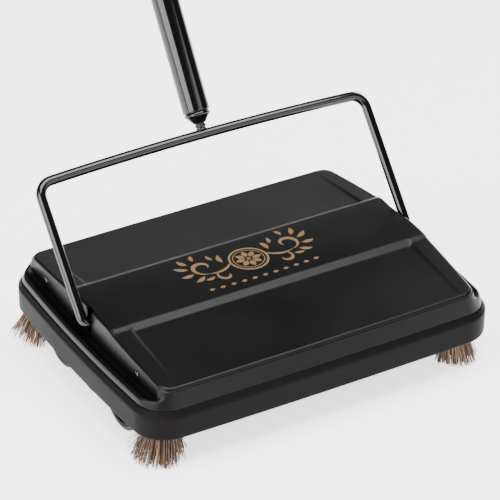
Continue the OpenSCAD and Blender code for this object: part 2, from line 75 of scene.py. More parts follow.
# Each light: where it stands, where it points, width, height and power in watts
LIGHTS = {
    "overhead": ((0.0, BODY_Y - 0.3, 2.6), (0, BODY_Y - 0.3, 0), 3.0, 2.0, 210),
    "left_softbox": ((-2.1, BODY_Y - 0.45, 1.0), (0, BODY_Y, 0.1), 1.8, 1.6, 85),
    "right_strip": ((1.9, BODY_Y + 1.1, 0.9), (0, BODY_Y, 0.1), 0.5, 1.8, 24),
    "front_panel": ((0.65, BODY_Y - 2.4, 1.2), (0, BODY_Y, 0.1), 2.0, 1.2, 26),
    "back_low": ((1.5, BODY_Y + 2.6, 1.15), (0, BODY_Y, 0.07), 2.8, 0.5, 7)}


def area_light(name, place, target, width, height, power):
    """A rectangular softbox that faces its target."""
    data = bpy.data.lights.new(name, "AREA")
    data.shape = "RECTANGLE"
    data.size = width
    data.size_y = height
    data.energy = power
    light = bpy.data.objects.new(name, data)
    light.location = place
    light.rotation_euler = (Vector(target) - Vector(place)).to_track_quat("-Z", "Y").to_euler()
    bpy.context.scene.collection.objects.link(light)


def deselect():
    """Clears the selection, because operators act on everything that is selected."""
    if bpy.context.object and bpy.context.object.mode != "OBJECT":
        bpy.ops.object.mode_set(mode="OBJECT")
    bpy.ops.object.select_all(action="DESELECT")


def select_only(piece):
    """Makes the piece the only selected and the active object."""
    deselect()
    piece.select_set(True)
    bpy.context.view_layer.objects.active = piece


camera = bpy.data.objects.new("camera", bpy.data.cameras.new("camera"))
camera.data.lens = LENS_MM
camera.data.clip_end = 50
turn = (Matrix.Rotation(VIEW_TURN, 4, "Z") @ Matrix.Rotation(math.pi / 2 - VIEW_DOWN, 4, "X")
        @ Matrix.Rotation(VIEW_ROLL, 4, "Z"))
stand = VIEW_TARGET + turn.to_3x3() @ Vector((0, 0, VIEW_DISTANCE))
camera.matrix_world = Matrix.Translation(stand) @ turn
bpy.context.scene.collection.objects.link(camera)
bpy.context.scene.camera = camera

world = bpy.data.worlds.new("studio")
world.use_nodes = True
world.node_tree.nodes["Background"].inputs["Color"].default_value = SKY_COLOUR
world.node_tree.nodes["Background"].inputs["Strength"].default_value = SKY_STRENGTH
bpy.context.scene.world = world

for light_name, light_values in LIGHTS.items():
    area_light(light_name, *light_values)

deselect()
bpy.ops.mesh.primitive_plane_add(size=FLOOR_SIZE, location=(0, 0, 0))
floor = bpy.context.object
floor.name = "floor"
floor_paint = bpy.data.materials.new("floor_paint")
floor_paint.use_nodes = True
floor_shader = floor_paint.node_tree.nodes["Principled BSDF"]
floor_shader.inputs["Base Color"].default_value = FLOOR_COLOUR
floor_shader.inputs["Roughness"].default_value = 0.9
floor_shader.inputs["Emission Color"].default_value = (1, 1, 1, 1)
floor_shader.inputs["Emission Strength"].default_value = FLOOR_GLOW
floor.data.materials.append(floor_paint)

# ---- Bumper band ----
# A soft vinyl band moulded in dark grey, stretched around the foot of the base frame.  Above a
# faint ridge it slopes in as a shoulder and stops at the dark seam under the cover.

SIDE_STEPS = 56
CORNER_STEPS = 14
SIDE_BOW = 4.5 * MM
END_BOW = 1.9 * MM
CORNER_R = 25 * MM
EDGE_Z = BODY_LOW.z
RIDGE_Z = BODY_HIGH.z
SHOULDER_H = 4.5 * MM
SHOULDER_IN = 3 * MM
BAND_T = 2.2 * MM


def outline(half_x, half_y, radius, bow_x, bow_y):
    """The plan of a box with round corners, whose four sides bow gently outwards."""
    flat = []
    for sign_x, sign_y, start in ((1, 1, 0), (-1, 1, 90), (-1, -1, 180), (1, -1, 270)):
        centre = Vector((sign_x * (half_x - radius), sign_y * (half_y - radius)))
        for step in range(CORNER_STEPS + 1):
            angle = math.radians(start + 90 * step / CORNER_STEPS)
            flat.append(centre + radius * Vector((math.cos(angle), math.sin(angle))))
        after = flat[-1].copy()
        if start in (0, 180):
            length = 2 * (half_x - radius)
            along = Vector((-sign_x, 0))
        else:
            length = 2 * (half_y - radius)
            along = Vector((0, -sign_y))
        flat.extend(after + along * length * step / SIDE_STEPS for step in range(1, SIDE_STEPS))
    return [Vector((p.x * (1 + bow_x / half_x * (1 - (p.y / half_y) ** 2)),
                    p.y * (1 + bow_y / half_y * (1 - (p.x / half_x) ** 2)))) for p in flat]


def body_plan(inset):
    """The body's plan, drawn in all round."""
    return outline(HALF_W - SIDE_BOW - inset, HALF_D - END_BOW - inset, CORNER_R - inset,
                   SIDE_BOW, END_BOW)


def at_height(plan, z):
    """A plan outline around the body's middle, raised to a height."""
    return [Vector((p.x, p.y + BODY_Y, z)) for p in plan]


def loft(name, rings, start_cap=False, end_cap=False):
    """A skin over a run of outlines: a circle laid on the first, extruded from each to the next."""
    deselect()
    bpy.ops.mesh.primitive_circle_add(vertices=len(rings[0]),
                                      fill_type="NGON" if start_cap else "NOTHING")
    piece = bpy.context.object
    piece.name = name
    for vertex, point in zip(piece.data.vertices, rings[0]):
        vertex.co = point
    bpy.ops.object.mode_set(mode="EDIT")
    bpy.ops.mesh.select_mode(type="EDGE")
    bpy.ops.mesh.select_all(action="SELECT")
    for before, after in zip(rings, rings[1:]):
        bpy.ops.mesh.extrude_edges_indiv()
        lookup = KDTree(len(before))
        for index, point in enumerate(before):
            lookup.insert(point, index)
        lookup.balance()
        mesh = bmesh.from_edit_mesh(piece.data)
        for vertex in mesh.verts:
            if vertex.select:
                vertex.co = after[lookup.find(vertex.co)[1]]
        bmesh.update_edit_mesh(piece.data)
    if end_cap:
        bpy.ops.mesh.edge_face_add()
    return piece


def settle(piece, material, body, slot, *nodes, smooth=35, outward=True):
    """Points the faces outwards, smooths them, leaves edit mode and ties the piece to its body."""
    select_only(piece)
    if outward:
        bpy.ops.object.mode_set(mode="EDIT")
        bpy.ops.mesh.select_all(action="SELECT")
        bpy.ops.mesh.remove_doubles(threshold=0.002 * MM)
        bpy.ops.mesh.normals_make_consistent(inside=False)
        bpy.ops.object.mode_set(mode="OBJECT")
    bpy.ops.object.transform_apply(location=True, rotation=True, scale=True)
    bpy.ops.object.shade_smooth_by_angle(angle=math.radians(smooth))
    piece.data.materials.clear()
    piece.data.materials.append(material)
    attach(piece, body)
    if nodes:
        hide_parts(*nodes)


def new_group(name, inputs, outputs):
    """An empty shader node group with these float inputs and outputs."""
    tree = bpy.data.node_groups.new(name, "ShaderNodeTree")
    for name_in, value in inputs.items():
        socket = tree.interface.new_socket(name_in, in_out="INPUT", socket_type="NodeSocketFloat")
        socket.default_value = value
    for name_out in outputs:
        tree.interface.new_socket(name_out, in_out="OUTPUT", socket_type="NodeSocketFloat")
    return tree, tree.nodes.new("NodeGroupInput"), tree.nodes.new("NodeGroupOutput")


def build_surface_group():
    """Uneven gloss, fine grain and settled dust, worked out from the piece's own coordinates."""
    tree, given, result = new_group(
        "surface_detail",
        {"Patch Scale": 18, "Patch Low": 0.35, "Patch High": 0.45, "Grain Scale": 900,
         "Speck Scale": 420, "Speck Amount": 0.04},
        ("Patch", "Grain", "Specks", "Tone"))
    place = tree.nodes.new("ShaderNodeTexCoord")
    patch = tree.nodes.new("ShaderNodeTexNoise")
    patch.inputs["Detail"].default_value = 5
    patch_range = tree.nodes.new("ShaderNodeMapRange")
    patch_range.inputs["From Min"].default_value = 0.3
    patch_range.inputs["From Max"].default_value = 0.7
    grain = tree.nodes.new("ShaderNodeTexNoise")
    grain.inputs["Detail"].default_value = 3
    speck = tree.nodes.new("ShaderNodeTexNoise")
    speck.inputs["Detail"].default_value = 2
    speck_range = tree.nodes.new("ShaderNodeMapRange")
    speck_range.inputs["From Min"].default_value = 0.66
    speck_range.inputs["From Max"].default_value = 0.76
    link = tree.links.new
    for texture in (patch, grain, speck):
        link(place.outputs["Object"], texture.inputs["Vector"])
    link(given.outputs["Patch Scale"], patch.inputs["Scale"])
    link(given.outputs["Grain Scale"], grain.inputs["Scale"])
    link(given.outputs["Speck Scale"], speck.inputs["Scale"])
    link(patch.outputs["Fac"], patch_range.inputs["Value"])
    link(given.outputs["Patch Low"], patch_range.inputs["To Min"])
    link(given.outputs["Patch High"], patch_range.inputs["To Max"])
    link(speck.outputs["Fac"], speck_range.inputs["Value"])
    link(given.outputs["Speck Amount"], speck_range.inputs["To Max"])
    link(patch_range.outputs["Result"], result.inputs["Patch"])
    link(grain.outputs["Fac"], result.inputs["Grain"])
    link(speck_range.outputs["Result"], result.inputs["Specks"])
    link(patch.outputs["Fac"], result.inputs["Tone"])
    return tree


SURFACE = build_surface_group()


def finish_material(name, dark, light, gloss, grain_scale, grain_depth, speck=0.006, metallic=0.0,
                    patch_scale=18, specular=0.5, speck_colour=(0.16, 0.15, 0.14, 1)):
    """A finish whose colour and gloss drift over the surface, with a fine grain and a little dust.
    gloss is the lowest and highest roughness."""
    made = bpy.data.materials.new(name)
    made.use_nodes = True
    nodes, link = made.node_tree.nodes, made.node_tree.links.new
    shader = nodes["Principled BSDF"]
    shader.inputs["Metallic"].default_value = metallic
    shader.inputs["Specular IOR Level"].default_value = specular
    detail = nodes.new("ShaderNodeGroup")
    detail.node_tree = SURFACE
    detail.inputs["Patch Scale"].default_value = patch_scale
    detail.inputs["Patch Low"].default_value = gloss[0]
    detail.inputs["Patch High"].default_value = gloss[1]
    detail.inputs["Grain Scale"].default_value = grain_scale
    detail.inputs["Speck Amount"].default_value = speck
    tone = nodes.new("ShaderNodeMix")
    tone.data_type = "RGBA"
    tone.inputs["A"].default_value = (*dark, 1)
    tone.inputs["B"].default_value = (*light, 1)
    dusty = nodes.new("ShaderNodeMix")
    dusty.data_type = "RGBA"
    dusty.inputs["B"].default_value = speck_colour
    bump = nodes.new("ShaderNodeBump")
    bump.inputs["Strength"].default_value = 1.0
    bump.inputs["Distance"].default_value = grain_depth
    link(detail.outputs["Tone"], tone.inputs["Factor"])
    link(tone.outputs["Result"], dusty.inputs["A"])
    link(detail.outputs["Specks"], dusty.inputs["Factor"])
    link(dusty.outputs["Result"], shader.inputs["Base Color"])
    link(detail.outputs["Patch"], shader.inputs["Roughness"])
    link(detail.outputs["Grain"], bump.inputs["Height"])
    link(bump.outputs["Normal"], shader.inputs["Normal"])
    return made


bumper_vinyl = finish_material("bumper_vinyl", (0.0030, 0.0024, 0.0028), (0.0042, 0.0035, 0.0039),
                               (0.44, 0.54), 1400, 0.05 * MM, speck=0.003, specular=0.05)

# How far in and how high, in millimetres, from the lower edge, the ridge and the shoulder's top
shoulder_z = RIDGE_Z + SHOULDER_H
band = BAND_T / MM
shoulder = SHOULDER_IN / MM
bumper_profile = [(inset, EDGE_Z + z * MM) for inset, z in (
    (band, 1.2), (band, 0.3), (band - 0.5, 0), (1.3, 0), (0.6, 0.25), (0.2, 0.8), (0, 1.6),
    (0, 2.4))]
bumper_profile += [(inset, RIDGE_Z + z * MM) for inset, z in (
    (-0.1, -2), (-0.1, -0.9), (0.02, -0.2), (0.4, 0.35), (0.8, 0.9))]
bumper_profile += [(shoulder + inset, shoulder_z + z * MM) for inset, z in (
    (-1.2, -1.3), (-0.5, -0.45), (0, -0.05), (0.6, 0.12), (1.6, 0.15), (4.0, 0.15))]
bumper_rings = [at_height(body_plan(inset * MM), z) for inset, z in bumper_profile]
bumper = loft("bumper_band", bumper_rings)
settle(bumper, bumper_vinyl, "chassis", "bumper_vinyl", "bumper", smooth=50)

# ---- Cover ----
# One sheet of steel, pressed to shape and enamelled satin black.  A rolled rim and a trough run
# down each side, two sunken panels slope away from a raised band, and a slot in each side wall
# lets the bail's foot drop in.  Four screws through the side walls hold it to the base.

COVER_LOW, COVER_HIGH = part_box("top_cover")
SKIRT_Z = COVER_LOW.z
BAND_Z = COVER_HIGH.z
SKIRT_IN = 3.2 * MM
RIM_Z = SKIRT_Z + 6 * MM
TROUGH_Z = RIM_Z - 2.4 * MM
TOP_Z = TROUGH_Z + 12.3 * MM
WALL_X = HALF_W - 19.75 * MM
WALL_BOW = 4.2 * MM
TOP_Y = HALF_D - 8.5 * MM
TOP_BOW = 0.9 * MM
COVER_R = 10 * MM
BAND_HALF = 33 * MM
FOOT_Y = 39 * MM
FOOT_Z = BAND_Z - 4 * MM
BAND_CROWN = 0.7 * MM
STEP_WIDE = 4.2 * MM
STEP_DROP = 1.9 * MM
CREASE_X = 126 * MM
CREASE_HALF = 2.0 * MM
EDGE_R = 2.4 * MM
SHEET_T = 1 * MM
SOFTEN = 1.3 * MM
CURL_START = 92 * MM
CURL_END = 115 * MM
DISH_Y = 12 * MM
DISH_HALF = 21 * MM
DISH_IN = 1.2 * MM
DISH_DROP = 0.3 * MM
SLOT_HALF = 4.35 * MM
SLOT_X = 140.2 * MM
SLOT_BOTTOM = -6 * MM
SLOT_CHAMFER = 2.5 * MM
# Where the side wall's foot fillet ends: its share of the way in and its height, and the height
# that the same outline has on the end walls
WALL_FOOT = 0.90
WALL_FOOT_Z = 4.9 * MM
END_WALL_Z = 10.8 * MM
EDGE_STEPS = 6
EDGE_X = 129 * MM

def ease(value):
    """0 below 0, 1 above 1, and a smooth S between."""
    value = min(max(value, 0), 1)
    return value * value * (3 - 2 * value)


def border_height(y):
    """Side profile of the strips beside the panels: flat band, a shallow step, then one slope."""
    y = abs(y)
    if y < BAND_HALF:
        return BAND_Z - BAND_CROWN * (y / BAND_HALF) ** 2
    step_y, step_z = BAND_HALF + STEP_WIDE, BAND_Z - BAND_CROWN - STEP_DROP
    if y < step_y:
        return step_z + STEP_DROP * (step_y - y) / STEP_WIDE
    return step_z - (step_z - TOP_Z) * (y - step_y) / (TOP_Y - step_y)


def panel_height(y):
    """Side profile between the creases: flat band, bevel, then the sunken panel."""
    y = abs(y)
    if y < BAND_HALF:
        return border_height(y)
    if y < FOOT_Y:
        bevel_top = BAND_Z - BAND_CROWN
        return bevel_top - (bevel_top - FOOT_Z) * (y - BAND_HALF) / (FOOT_Y - BAND_HALF)
    return FOOT_Z - (FOOT_Z - TOP_Z) * (y - FOOT_Y) / (TOP_Y - FOOT_Y)


def softened(profile, y):
    """The profile with its corners rounded, as sheet metal bends."""
    steps = 8
    return sum(profile(y + SOFTEN * (2 * i / steps - 1)) for i in range(steps + 1)) / (steps + 1)


def dish(y):
    """How deep the hollow beside the bail's pivot is, from 0 to 1."""
    return ease(1.25 * (1 - abs(y - DISH_Y) / DISH_HALF))


def top_height(x, y):
    """Height of the pressed top over a point of the plan."""
    border = softened(border_height, y)
    sunk = softened(panel_height, y) - border
    inside = ease((CREASE_X + CREASE_HALF - abs(x)) / (2 * CREASE_HALF))
    edge = ease((abs(x) - EDGE_X) / (14 * MM))
    return border + sunk * inside - DISH_DROP * edge * dish(y)


def cover_ring(side_share, side_z, end_share_z, from_top=None):
    """One outline between the skirt and the top edge.  Along the sides it sits side_share of the
    way in, round the ends it lies on the sloping end wall at its own height, and the corners
    blend the two."""
    ring = []
    for skirt, wall in zip(skirt_plan, wall_plan):
        along = ease((CURL_END - abs(skirt.y)) / (CURL_END - CURL_START))
        end_share = (end_share_z - SKIRT_Z) / (TOP_Z - SKIRT_Z)
        top = top_height(wall.x, wall.y)
        height = side_z if from_top is None else side_z + from_top * (top - EDGE_R - side_z)
        share = end_share + (side_share - end_share) * along
        point = skirt + (wall - skirt) * share
        raised = end_share_z + (height - end_share_z) * along
        ring.append(Vector((point.x, point.y + BODY_Y, raised)))
    return ring


def edge_ring(inset, drop):
    """One outline of the top's rounded edge, drawn in and dropped below the pressed top."""
    plan = outline(WALL_X - inset, TOP_Y - TOP_BOW - inset, COVER_R - inset, WALL_BOW, TOP_BOW)
    return [Vector((p.x, p.y + BODY_Y, top_height(p.x, p.y) - drop)) for p in plan]


def score_lines(axis, places):
    """Scores straight lines across the faces in view, so that they can bend along them."""
    normal = [0, 0, 0]
    normal[axis] = 1
    for place in places:
        point = [0, 0, 0]
        point[axis] = place + (BODY_Y if axis == 1 else 0)
        bpy.ops.mesh.select_all(action="SELECT")
        bpy.ops.mesh.bisect(plane_co=point, plane_no=normal)


def select_faces(piece, test):
    """Selects the faces whose middle passes the test, in edit mode."""
    mesh = bmesh.from_edit_mesh(piece.data)
    for face in mesh.faces:
        face.select_set(False)
    for face in mesh.faces:
        if test(face.calc_center_median()):
            face.select_set(True)
    bmesh.update_edit_mesh(piece.data)


def in_slot(at):
    """True inside the slot for the bail's foot: straight sides and a chamfered bottom."""
    beside, above = abs(at.y - PIVOT.y), at.z - PIVOT.z
    below_chamfer = beside - SLOT_HALF > above - SLOT_BOTTOM - SLOT_CHAMFER
    in_sides = abs(at.x) > SLOT_X and beside < SLOT_HALF
    return in_sides and above > SLOT_BOTTOM and not below_chamfer


def mirrored(values):
    """The values and their negatives, once each."""
    return sorted(set(values) | {-v for v in values})


BAIL_JOINT = next(j for j in frame["record"]["behaviour"]["joints"] if j["name"] == "bail_fold")
PIVOT = Vector(BAIL_JOINT["pos_m"])
skirt_plan = body_plan(SKIRT_IN)
wall_plan = outline(WALL_X, TOP_Y - TOP_BOW, COVER_R, WALL_BOW, TOP_BOW)
# How far across from skirt to wall, the height along the sides, and the height at the ends
side_profile = (
    (0.05, 0.0, 0.0), (0, 0.25, 0.3), (0, 1.0, 1.0), (0.015, 3.0, 2.6), (0.045, 4.4, 3.8),
    (0.09, 5.3, 4.8), (0.15, 5.85, 5.4), (0.215, 6.0, 5.9), (0.285, 5.85, 6.3), (0.35, 5.5, 6.7),
    (0.44, 4.75, 7.2), (0.52, 4.05, 7.7), (0.57, 3.7, 8.1), (0.63, 3.6, 8.6), (0.70, 3.6, 9.1),
    (0.83, 3.6, 9.7), (0.872, 3.75, 10.1), (0.892, 4.2, 10.4),
    (WALL_FOOT, WALL_FOOT_Z / MM, END_WALL_Z / MM))
cover_rings = [cover_ring(share, SKIRT_Z + side * MM, SKIRT_Z + end * MM)
               for share, side, end in side_profile]
cover_rings += [
    cover_ring(WALL_FOOT + (1 - WALL_FOOT) * rise, SKIRT_Z + WALL_FOOT_Z,
               SKIRT_Z + END_WALL_Z + 2.7 * MM * rise, from_top=rise)
    for rise in (0.12, 0.3, 0.5, 0.7, 0.88, 1.0)]
cover_rings += [
    edge_ring(EDGE_R * (1 - math.cos(angle)), EDGE_R * (1 - math.sin(angle)))
    for angle in (math.pi / 2 * step / EDGE_STEPS for step in range(EDGE_STEPS + 1))]
cover_rings.append(edge_ring(EDGE_R + 0.8 * MM, 0))

cover = loft("pressed_cover", cover_rings, end_cap=True)
bend_offsets = [offset * MM for offset in (-2.1, -1.4, -0.9, -0.45, 0, 0.45, 0.9, 1.4, 2.1)]
bend_lines = [line + offset for line in (BAND_HALF, FOOT_Y) for offset in bend_offsets]
plain_y = [y * MM for y in (0, 5, 10, 15, 20, 25, 60, 80, 100)]
crease_offsets = (-2.7, -2.0, -1.5, -1.0, -0.5, 0, 0.5, 1.0, 1.5, 2.0, 2.7)
crease_lines = [CREASE_X + offset * MM for offset in crease_offsets]
plain_x = [x * MM for x in (0, 40, 80, 115, 131, 133.5, 136)]
bpy.ops.mesh.select_mode(type="FACE")
bpy.ops.mesh.hide(unselected=True)
score_lines(1, mirrored(bend_lines + plain_y))
score_lines(0, mirrored(crease_lines + plain_x))
mesh = bmesh.from_edit_mesh(cover.data)
for vertex in mesh.verts:
    if not vertex.hide:
        vertex.co.z = top_height(vertex.co.x, vertex.co.y - BODY_Y)
bmesh.update_edit_mesh(cover.data)
bpy.ops.mesh.reveal()
mesh = bmesh.from_edit_mesh(cover.data)
for vertex in mesh.verts:
    across = ease((abs(vertex.co.x) - EDGE_X) / (12 * MM))
    up = ease((vertex.co.z - TROUGH_Z) / (8 * MM))
    pressed_in = DISH_IN * across * up * dish(vertex.co.y - BODY_Y)
    vertex.co.x -= math.copysign(pressed_in, vertex.co.x)
bmesh.update_edit_mesh(cover.data)
chamfer_top = SLOT_BOTTOM + SLOT_CHAMFER
# The slot's two sides, bottom and two chamfers: which way each faces, and a point of it in YZ
slot_cuts = (
    ((0, 1, 0), (SLOT_HALF, 0)), ((0, 1, 0), (-SLOT_HALF, 0)), ((0, 0, 1), (0, SLOT_BOTTOM)),
    ((0, 1, -1), (SLOT_HALF, chamfer_top)), ((0, -1, -1), (-SLOT_HALF, chamfer_top)))
for direction, (out_y, out_z) in slot_cuts:
    select_faces(cover, lambda at: abs(at.x) > SLOT_X and at.z > TROUGH_Z
                 and abs(at.y - PIVOT.y) < 3 * SLOT_HALF)
    bpy.ops.mesh.bisect(plane_co=(0, PIVOT.y + out_y, PIVOT.z + out_z), plane_no=direction)
select_faces(cover, in_slot)
bpy.ops.mesh.delete(type="FACE")
bpy.ops.mesh.select_all(action="SELECT")
bpy.ops.mesh.normals_make_consistent(inside=False)
largest = max(bmesh.from_edit_mesh(cover.data).faces, key=lambda face: face.calc_area())
if largest.normal.z < 0:
    bpy.ops.mesh.flip_normals()
bpy.ops.object.mode_set(mode="OBJECT")


def apply_modifier(piece, kind, **settings):
    """Adds a modifier with these settings and applies it."""
    modifier = piece.modifiers.new(kind.lower(), kind)
    for name, value in settings.items():
        setattr(modifier, name, value)
    bpy.context.view_layer.objects.active = piece
    bpy.ops.object.modifier_apply(modifier=modifier.name)


apply_modifier(cover, "SOLIDIFY", thickness=SHEET_T, offset=-1)
black_enamel = finish_material("black_enamel", (0.0012, 0.0012, 0.0013), (0.0018, 0.0018, 0.0019),
                               (0.30, 0.37), 650, 0.018 * MM, speck=0.003, specular=0.15)
settle(cover, black_enamel, "chassis", "black_enamel", "top_cover", smooth=38, outward=False)

# ---- Printed ornament ----
# A gold ornament screen-printed on the raised band: a rosette between two leafy scrolls over a
# row of lozenges.  The ink stands a tenth of a millimetre proud of the enamel.

INK_T = 0.1 * MM
ORNAMENT_Y = BODY_Y + 3 * MM


def stroke(points, widths):
    """One pen stroke, as points in millimetres across the band and the stroke's width at each."""
    return [Vector((x * MM, y * MM, 0)) for x, y in points], [w * MM / 2 for w in widths]


def arc(x, y, radius, start, end, steps=14, end_radius=None):
    """Points along an arc or a spiral, between two angles in degrees."""
    end_radius = radius if end_radius is None else end_radius
    points = []
    for step in range(steps + 1):
        t = step / steps
        angle = math.radians(start + (end - start) * t)
        reach = radius + (end_radius - radius) * t
        points.append((x + reach * math.cos(angle), y + reach * math.sin(angle)))
    return points


def sweep(start, pull, end, steps=12):
    """Points along a curve from start to end that bends towards pull."""
    points = []
    for step in range(steps + 1):
        t = step / steps
        weights = ((1 - t) ** 2, 2 * t * (1 - t), t * t)
        points.append(tuple(sum(w * at[i] for w, at in zip(weights, (start, pull, end)))
                            for i in (0, 1)))
    return points


def swelling(count, widest, tip=0.25):
    """Widths that swell from a fine tip to the middle of a stroke and back."""
    return [tip + (widest - tip) * math.sin(math.pi * i / (count - 1)) for i in range(count)]


def leaf(x, y, angle, length, width):
    """A pointed leaf that starts at a point and bends a little."""
    points = []
    for step in range(9):
        t = step / 8
        turned_by = math.radians(angle + 26 * t)
        points.append((x + length * t * math.cos(turned_by),
                       y + length * t * math.sin(turned_by)))
    return stroke(points, swelling(9, width, 0.1))


def scroll_side(side):
    """The scroll and leaves on one side of the rosette."""
    stem = sweep((14.5, 3), (24, -9), (37.5, -4.6))
    outer = arc(38, 6, 10.5, -96, 216, 28, 3.6)
    lower = arc(27, -12, 7.5, 78, -190, 22, 2.6)
    drawn = [stroke(stem, swelling(len(stem), 2.8)), stroke(outer, swelling(len(outer), 3.8)),
             stroke(lower, swelling(len(lower), 3.0))]
    # Leaves: where each starts, its direction in degrees, its length and its width
    drawn += [leaf(*values) for values in (
        (49.5, 9, 8, 12, 4.6), (47, 15, 40, 11, 4.4), (40, 18.5, 78, 8.5, 3.8),
        (49, 1, -28, 11, 4.4), (43, -5.5, -52, 11, 4.2), (20.5, 5, 72, 12, 4.2),
        (25.5, 12, 50, 9, 3.4), (36, -10, -34, 9, 3.6))]
    return [([Vector((side * point.x, point.y, 0)) for point in points], widths)
            for points, widths in drawn]


def swept(name, paths, radius, roundness, caps=True):
    """Tubes swept along each path, as one mesh.  A path is its points and its width at each."""
    curve = bpy.data.curves.new(name, "CURVE")
    curve.dimensions = "3D"
    curve.bevel_depth = radius
    curve.bevel_resolution = roundness
    curve.use_fill_caps = caps
    for points, widths in paths:
        spline = curve.splines.new("POLY")
        spline.points.add(len(points) - 1)
        for spot, point, width in zip(spline.points, points, widths):
            spot.co = (*point, 1)
            spot.radius = width
    piece = bpy.data.objects.new(name, curve)
    bpy.context.scene.collection.objects.link(piece)
    select_only(piece)
    bpy.ops.object.convert(target="MESH")
    return bpy.context.object


strokes = scroll_side(-1) + scroll_side(1)
for radius, width in ((15.6, 1.9), (12.7, 0.8)):
    circle = arc(0, 0, radius, 0, 360, 48)
    strokes.append(stroke(circle, [width] * len(circle)))
for petal in range(8):
    angle = math.radians(45 * petal)
    reaches = [3.0 + 8.2 * i / 8 for i in range(9)]
    strokes.append(stroke([(reach * math.cos(angle), reach * math.sin(angle)) for reach in reaches],
                          swelling(9, 4.8, 0.3)))
strokes.append(stroke([(-1.7 + 0.34 * i, 0) for i in range(11)],
                      [3.4 * math.sqrt(max(1 - (i / 5 - 1) ** 2, 0.01)) for i in range(11)]))
for place in range(-5, 6):
    middle_y = -26.5 + 0.05 * place ** 2
    strokes.append(stroke([(place * 9.4 - 2.6 + 0.65 * i, middle_y) for i in range(9)],
                          [3.6 * (1 - abs(i / 4 - 1)) + 0.08 for i in range(9)]))

ink = swept("printed_ornament", strokes, 1, 1)
for vertex in ink.data.vertices:
    vertex.co.y += ORNAMENT_Y
    height = min(max(vertex.co.z / (0.3 * MM), -1), 1) * INK_T
    vertex.co.z = top_height(vertex.co.x, vertex.co.y - BODY_Y) + height
gold_ink = finish_material("gold_ink", (0.098, 0.058, 0.024), (0.13, 0.078, 0.034), (0.4, 0.52),
                           1200, 0.01 * MM, speck=0.0, patch_scale=60, specular=0.3)
settle(ink, gold_ink, "chassis", "black_enamel", outward=False)

# ---- Cover screws ----
# Four pan-headed screws, blackened, with a cross recess, driven through the cover's side walls
# into the uprights of the base.

gloss_black = finish_material("gloss_black", (0.0012, 0.0012, 0.0013), (0.0018, 0.0018, 0.0019),
                              (0.09, 0.13), 500, 0.004 * MM, speck=0.003, patch_scale=30)
SCREW_LOW, SCREW_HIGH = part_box("cover_screws")
SCREW_HEAD_R = 2.8 * MM
SCREW_HEAD_T = 1.6 * MM
SCREW_LENGTH = 13 * MM
SCREW_Z = SCREW_LOW.z + SCREW_HEAD_R
SCREW_Y = SCREW_HIGH.y - SCREW_HEAD_R - BODY_Y
RECESS_TURN = 0.35
RECESS_SIZE = (2.0 * MM, 0.62 * MM, 3.2 * MM)


def closed_loft(name, rings, caps):
    """A loft whose ends are capped or, for a ring-shaped part, joined to each other."""
    piece = loft(name, rings, start_cap=caps, end_cap=caps)
    if not caps:
        bpy.ops.mesh.select_all(action="DESELECT")
        bpy.ops.mesh.select_non_manifold()
        bpy.ops.mesh.bridge_edge_loops()
    bpy.ops.object.mode_set(mode="OBJECT")
    return piece


def unit_circle(sides):
    """The cosine and sine of each step round a circle."""
    steps = [2 * math.pi * i / sides for i in range(sides)]
    return [(math.cos(angle), math.sin(angle)) for angle in steps]


def turned_across(name, profile, centre, sides=48, caps=True):
    """A part turned about a line across the body, from radius and distance out in millimetres."""
    rings = [[Vector((centre.x + out * MM, centre.y + radius * MM * c, centre.z + radius * MM * s))
              for c, s in unit_circle(sides)] for radius, out in profile]
    return closed_loft(name, rings, caps)


screw_profile = [(0.9, -SCREW_LENGTH / MM), (1.5, -12.2), (1.5, -0.1), (2.7, 0), (2.8, 0.15),
                 (2.8, 0.5), (2.65, 0.95), (2.2, 1.3), (1.4, 1.52), (0.5, 1.6)]
for side in (-1, 1):
    for end in (-1, 1):
        seat = Vector((SCREW_HIGH.x - SCREW_HEAD_T, BODY_Y + end * SCREW_Y, SCREW_Z))
        screw = turned_across("cover_screw", screw_profile, seat, 32)
        for cross_turn in (RECESS_TURN, RECESS_TURN + math.pi / 2):
            bpy.ops.mesh.primitive_cube_add(size=1, location=seat + Vector((SCREW_HEAD_T, 0, 0)),
                                            rotation=(cross_turn, 0, 0), scale=RECESS_SIZE)
            recess = bpy.context.object
            apply_modifier(screw, "BOOLEAN", object=recess, operation="DIFFERENCE", solver="EXACT")
            bpy.data.objects.remove(recess)
        if side < 0:
            for vertex in screw.data.vertices:
                vertex.co.x = -vertex.co.x
        settle(screw, gloss_black, "chassis", "gloss_black", "cover_screws")

# ---- Bail ----
# One length of 8 mm steel rod, bent cold and enamelled gloss black: two feet turn in through the
# cover's slots, the legs rise, and a slightly bowed bar joins them.

BAIL_X = HALF_W - 11.25 * MM
BAIL_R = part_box("bail")[1].x - BAIL_X
BAIL_L = 118 * MM
BAIL_CORNER = 12 * MM
BAIL_BOW = 3 * MM
FOOT_R = 7 * MM
BAIL_LEAN = math.radians(40)
STUB_X = 121.5 * MM
ROD_SIDES = 32

bow_angle = 2 * math.atan(BAIL_BOW / (BAIL_X - BAIL_CORNER))
bow_x = BAIL_X - BAIL_CORNER + BAIL_CORNER * math.sin(bow_angle)
bow_radius = bow_x / math.sin(bow_angle)
bend_z = BAIL_L - bow_x * math.tan(bow_angle / 2) - BAIL_CORNER * math.cos(bow_angle)


